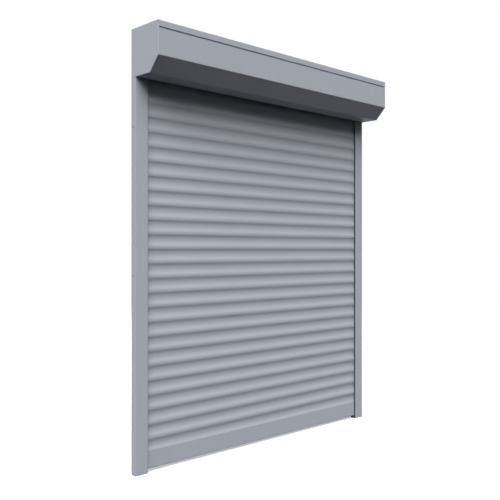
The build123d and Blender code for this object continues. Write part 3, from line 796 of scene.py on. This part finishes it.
# %% Slat sizes
slat_nodes = sorted(name for name in frame["nodes"] if name.startswith("slat_"))
slat_low, slat_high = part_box(slat_nodes[0])
slat_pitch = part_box(slat_nodes[1])[0].z - slat_low.z
slat_depth = 9 * mm
curtain_y = (slat_low.y + slat_high.y) / 2
joint_gap = 0.15 * mm
first_foot = slat_low.z - joint_gap
foot_shares = (-0.403, 0.003)
nose_shares = (-0.50, 0.175)
crest_shares = (-0.343, 0.375)
hollow_shares = (-0.112, 0.674)
top_shares = (-0.349, 1)
hook_share = 0.044
back_top_shares = (0.37, 1)
back_middle_shares = (0.497, 0.60)
back_foot_shares = (0.33, joint_gap / slat_pitch)
hook_web = 1.1 * mm
hook_head = 1.1 * mm
hook_reach = 2.3 * mm
socket_lip = 1.2 * mm
socket_side = 0.4 * mm
vent_travel = 1.8 * mm
stop_gap = 0.1 * mm
loose_gap = 0.3 * mm
hook_neck = socket_lip + vent_travel + stop_gap
print("slat pitch in mm:", round(slat_pitch / mm, 2), "slats:", len(slat_nodes))


def slat_place(foot, depth_share, up_share):
    """Place on the outline of the slat whose foot is at a height."""
    return place_at(curtain_y + slat_depth * depth_share, foot + slat_pitch * up_share)


# %% [markdown]
# Slats hang in each other. The hook on top of one slat stands in a chamber in the nose of the next
# and can slide there by a gap's height, which is what opens the row of vents. The outline walks
# round all of it in one line: nose, hollow, hook, back, and the chamber with its slot below.

# %% Slat outline
hook_front = curtain_y + slat_depth * hook_share
hook_back = hook_front + hook_web


def draw_hook(bm, vert, top):
    """Continues an outline up round the hook that stands on a slat's top and back down."""
    neck = top + hook_neck
    head = neck + hook_head
    return lines_to(
        bm,
        vert,
        place_at(hook_front, top),
        place_at(hook_front, neck),
        place_at(hook_front - hook_reach, neck),
        place_at(hook_front - hook_reach, head),
        place_at(hook_back, head),
        place_at(hook_back, neck),
        place_at(hook_back, top),
    )


def draw_socket(bm, vert, foot):
    """Continues an outline from the back of a slat's foot through the hook chamber to the front."""
    roof = foot + hook_neck + stop_gap + hook_head + loose_gap
    lip = foot + socket_lip
    return lines_to(
        bm,
        vert,
        place_at(hook_back + socket_side, foot + joint_gap),
        place_at(hook_back + socket_side, roof),
        place_at(hook_front - hook_reach - socket_side, roof),
        place_at(hook_front - hook_reach - socket_side, lip),
        place_at(hook_front - socket_side, lip),
        place_at(hook_front - socket_side, foot + joint_gap),
    )


def slat_mesh(foot):
    """One slat, with its hook and its chamber."""
    bm = bmesh.new()
    foot_front = slat_place(foot, *foot_shares)
    vert = bm.verts.new(foot_front)
    vert = arc_to(bm, vert, slat_place(foot, *nose_shares), slat_place(foot, *crest_shares))
    vert = arc_to(bm, vert, slat_place(foot, *hollow_shares), slat_place(foot, *top_shares))
    vert = draw_hook(bm, vert, foot + slat_pitch)
    vert = lines_to(bm, vert, slat_place(foot, *back_top_shares))
    back_middle = slat_place(foot, *back_middle_shares)
    vert = arc_to(bm, vert, back_middle, slat_place(foot, *back_foot_shares))
    vert = draw_socket(bm, vert, foot)
    lines_to(bm, vert, foot_front)
    lengthen(bm, *along_x(slat_low, slat_high))
    return mesh_from(bm, "slat")


# %% [markdown]
# The curtain is that slat again and again, one pitch above the last. An Array modifier would repeat
# it in one object, but every slat slides by its own amount, so each is a piece on its own body.

# %% Curtain
for number, node in enumerate(slat_nodes):
    mesh = slat_mesh(first_foot + number * slat_pitch)
    finish_piece(f"curtain_{node}", mesh, "coated_slat", node)
print("curtain slats made:", len(slat_nodes))

# %% [markdown]
# The bottom bar is a heavier extrusion: a tall flat foot, then a hollow like a slat's that runs up
# to the last hook. Its lower corners are rounded a little, and they catch the light. A bevel could
# round them, but on an outline two short arcs do. Smooth shading would carry a corner's turn across
# the whole flat beside it, so a holding edge close to each corner keeps the flats flat.

# %% Bottom bar
bar_low, bar_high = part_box("bottom_bar")
bar_top = first_foot
bar_flat = 54 * mm
bar_corner = 0.9 * mm
bar_hold = 0.4 * mm


def bar_mesh():
    """Outline of the bar, lengthened to the curtain's width."""
    bm = bmesh.new()
    front = curtain_y - slat_depth / 2
    back = curtain_y + slat_depth / 2
    foot = bar_top - slat_pitch
    low = bar_low.z
    flat_low = low + bar_corner
    flat_top = low + bar_flat
    cut = corner_cut(bar_corner)
    start = place_at(front + bar_corner, low)
    vert = bm.verts.new(start)
    vert = arc_to(
        bm, vert, place_at(front + cut, low + cut), place_at(front, flat_low), corner_steps
    )
    for z in (flat_low + bar_hold, flat_top - bar_hold, flat_top):
        vert = lines_to(bm, vert, place_at(front, z))
    vert = lines_to(bm, vert, slat_place(foot, *crest_shares))
    vert = arc_to(bm, vert, slat_place(foot, *hollow_shares), slat_place(foot, *top_shares))
    vert = draw_hook(bm, vert, bar_top)
    vert = lines_to(bm, vert, slat_place(foot, *back_top_shares))
    for z in (flat_top, flat_top - bar_hold, flat_low + bar_hold, flat_low):
        vert = lines_to(bm, vert, place_at(back, z))
    vert = arc_to(
        bm, vert, place_at(back - cut, low + cut), place_at(back - bar_corner, low), corner_steps
    )
    for y in (back - bar_corner - bar_hold, front + bar_corner + bar_hold):
        vert = lines_to(bm, vert, place_at(y, low))
    lines_to(bm, vert, start)
    lengthen(bm, *along_x(bar_low, bar_high))
    return mesh_from(bm, "bar")


finish_piece("curtain_bottom_bar", bar_mesh(), "coated_bar", "bottom_bar")
print("bar height in mm:", round((bar_high.z - bar_low.z) / mm, 1))

# %% [markdown]
# Black rubber gaskets line the mouth of both guide rails, so that the slats don't rattle on metal.
# Each is one extrusion: a root that fills the rail's groove, a soft bulb beside the slats, and a
# thin flap that hides the rail's bare edge. The outline is drawn once in distances from the rail's
# mouth and front, and mirrored for the back of the slot and for the other rail.

# %% Guide gaskets
rail_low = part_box("guide_rail_right")[0]
root_depth = 6.7 * mm
root_front = 1.9 * mm
root_back = 3.8 * mm
neck_depth = 4.8 * mm
bulb_side = 5.3 * mm
bulb_tip = 6.3 * mm
bulb_mouth = 4.5 * mm
bulb_steps = 8
edge_depth = 1.3 * mm
edge_back = 3.1 * mm
flap_wall = 0.7 * mm
flap_front = 0.3 * mm
flap_bend = 0.5 * mm
seat = 0.05 * mm


def draw_gasket(bm, side, face):
    """Outline of one gasket: side is 1 for the right rail, face is 1 for the front of the slot."""

    def spot(inward, depth):
        front = rail_low.y + depth
        back = 2 * curtain_y - front
        return Vector((side * (rail_low.x + inward), front if face > 0 else back, 0))

    start = spot(root_depth, root_front)
    bulb_end = spot(-flap_wall, bulb_mouth)
    cut = corner_cut(flap_bend)
    flap_corner = spot(cut - flap_wall, flap_front + cut)
    flap_edge = spot(flap_bend - flap_wall, flap_front)
    vert = bm.verts.new(start)
    vert = lines_to(
        bm, vert, spot(root_depth, root_back), spot(neck_depth, root_back),
        spot(neck_depth, bulb_side),
    )
    vert = arc_to(bm, vert, spot(neck_depth / 2, bulb_tip), bulb_end, bulb_steps)
    vert = lines_to(bm, vert, spot(-flap_wall, flap_front + flap_bend))
    vert = arc_to(bm, vert, flap_corner, flap_edge, corner_steps)
    lines_to(
        bm, vert, spot(-seat, flap_front), spot(-seat, edge_back), spot(edge_depth, edge_back),
        spot(edge_depth, root_front), start,
    )


for node, side in (("guide_gaskets_left", -1), ("guide_gaskets_right", 1)):
    bm = bmesh.new()
    for face in (-1, 1):
        draw_gasket(bm, side, face)
    gasket_low, gasket_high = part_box(node)
    lengthen(bm, (0, 0, gasket_low.z), (0, 0, gasket_high.z - gasket_low.z))
    finish_piece(f"rubber_{node}", mesh_from(bm, node), "black_rubber", node)
print("rail mouth at mm:", round(rail_low.x / mm, 1))

# %% [markdown]
# Three spring-steel hangers join the shaft to the top slat. When the curtain rises, the real ones
# wind onto the shaft; in the model their free length shortens as much as the top slat rises. Here
# the hangers are drawn again as one piece, with a mesh of its own that rides on the hangers' body.
# One hanger is drawn and lengthened, and two copies of it are set along the shaft.

# %% Hangers
hanger_low, hanger_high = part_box("hanger_straps")
hanger_wall = 0.8 * mm
hanger_width = 22 * mm
hanger_bend = 44.8 * mm
hanger_step = (hanger_high.x - hanger_low.x - hanger_width) / 2


def draw_hanger(bm):
    """Outline: the tail on the shaft, the bend behind it, and the end in the top slat's hook."""
    centre = place_at(hanger_high.y - hanger_bend, hanger_high.z - hanger_bend)

    def on_bend(radius, angle):
        turn = math.radians(angle)
        return centre + place_at(radius * math.sin(turn), radius * math.cos(turn))

    inner = hanger_bend - hanger_wall
    start = place_at(hanger_low.y, hanger_high.z)
    vert = bm.verts.new(start)
    vert = lines_to(bm, vert, on_bend(hanger_bend, 0))
    vert = arc_to(bm, vert, on_bend(hanger_bend, 45), on_bend(hanger_bend, 90))
    for y in (hanger_high.y, hanger_high.y - hanger_wall):
        vert = lines_to(bm, vert, place_at(y, hanger_low.z))
    vert = lines_to(bm, vert, on_bend(inner, 90))
    vert = arc_to(bm, vert, on_bend(inner, 45), on_bend(inner, 0))
    lines_to(bm, vert, place_at(hanger_low.y, hanger_high.z - hanger_wall), start)


def hangers_mesh():
    """Three equal hangers in one mesh."""
    bm = bmesh.new()
    draw_hanger(bm)
    lengthen(bm, (hanger_low.x, 0, 0), (hanger_width, 0, 0))
    repeat(bm, [(hanger_step, 0, 0), (2 * hanger_step, 0, 0)])
    return mesh_from(bm, "hangers")


hangers = finish_piece("spring_hangers", hangers_mesh(), "spring_steel", "hanger_straps")
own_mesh(hangers)

# %% [markdown]
# Four screws hold the top of the box to the end caps. Each has a rounded head with a hexagon socket
# and a pointed shank. A screw is round, so half of its outline is spun a full turn. The innermost
# ring of the head is then drawn in to a hexagon and pulled down to make the socket.

# %% Panel screws
screw_low, screw_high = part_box("panel_screws")
screw_steps = 24
head_radius = 3.8 * mm
head_height = 1.8 * mm
head_round = 1.2 * mm
shank_radius = 1.8 * mm
shank_tip = 2.4 * mm
socket_corner = 1.5 * mm
socket_depth = 1.2 * mm
hexagon_side = 60


def draw_screw(bm):
    """Half of the outline of a screw that stands on the z axis, spun a full turn."""
    top = screw_high.z
    seat_height = top - head_height
    cut = corner_cut(head_round)
    round_end = place_at(head_radius, top - head_round)
    vert = bm.verts.new(place_at(socket_corner, top))
    vert = lines_to(bm, vert, place_at(head_radius - head_round, top))
    vert = arc_to(bm, vert, place_at(head_radius - cut, top - cut), round_end, corner_steps)
    lines_to(
        bm,
        vert,
        place_at(head_radius, seat_height),
        place_at(shank_radius, seat_height),
        place_at(shank_radius, screw_low.z + shank_tip),
        place_at(0, screw_low.z),
    )
    bmesh.ops.spin(
        bm, geom=bm.verts[:] + bm.edges[:], cent=(0, 0, 0), axis=(0, 0, 1), dvec=(0, 0, 0),
        angle=math.tau, steps=screw_steps, use_merge=True, use_normal_flip=False,
        use_duplicate=False,
    )
    bmesh.ops.remove_doubles(bm, verts=bm.verts[:], dist=merge_within)


def sink_socket(bm):
    """Turns the open ring of the head into a hexagon socket."""
    rim = [edge for edge in bm.edges if edge.is_boundary]
    flat_share = math.cos(math.radians(hexagon_side / 2))
    for vert in {vert for edge in rim for vert in edge.verts}:
        angle = math.degrees(math.atan2(vert.co.y, vert.co.x))
        off_flat = math.radians(angle % hexagon_side - hexagon_side / 2)
        share = flat_share / math.cos(off_flat)
        bmesh.ops.scale(bm, verts=[vert], vec=(share, share, 1))
    pull_edges(bm, rim, (0, 0, -socket_depth))
    close_mesh(bm)


def screws_mesh():
    """The four screws of the box's top."""
    bm = bmesh.new()
    draw_screw(bm)
    sink_socket(bm)
    corner_x, corner_y = screw_low.x + head_radius, screw_low.y + head_radius
    step_x = screw_high.x - screw_low.x - 2 * head_radius
    step_y = screw_high.y - screw_low.y - 2 * head_radius
    bmesh.ops.translate(bm, verts=bm.verts[:], vec=(corner_x, corner_y, 0))
    repeat(bm, [(step_x, 0, 0), (0, step_y, 0), (step_x, step_y, 0)])
    return mesh_from(bm, "screws")


finish_piece("socket_panel_screws", screws_mesh(), "zinc_screw", "panel_screws")
print("screw height in mm:", round((screw_high.z - screw_low.z) / mm, 1))

# %% [markdown]
# Last, the view layer is brought up to date, so that every piece stands where its body holds it.

# %% Last update
bpy.context.view_layer.update()
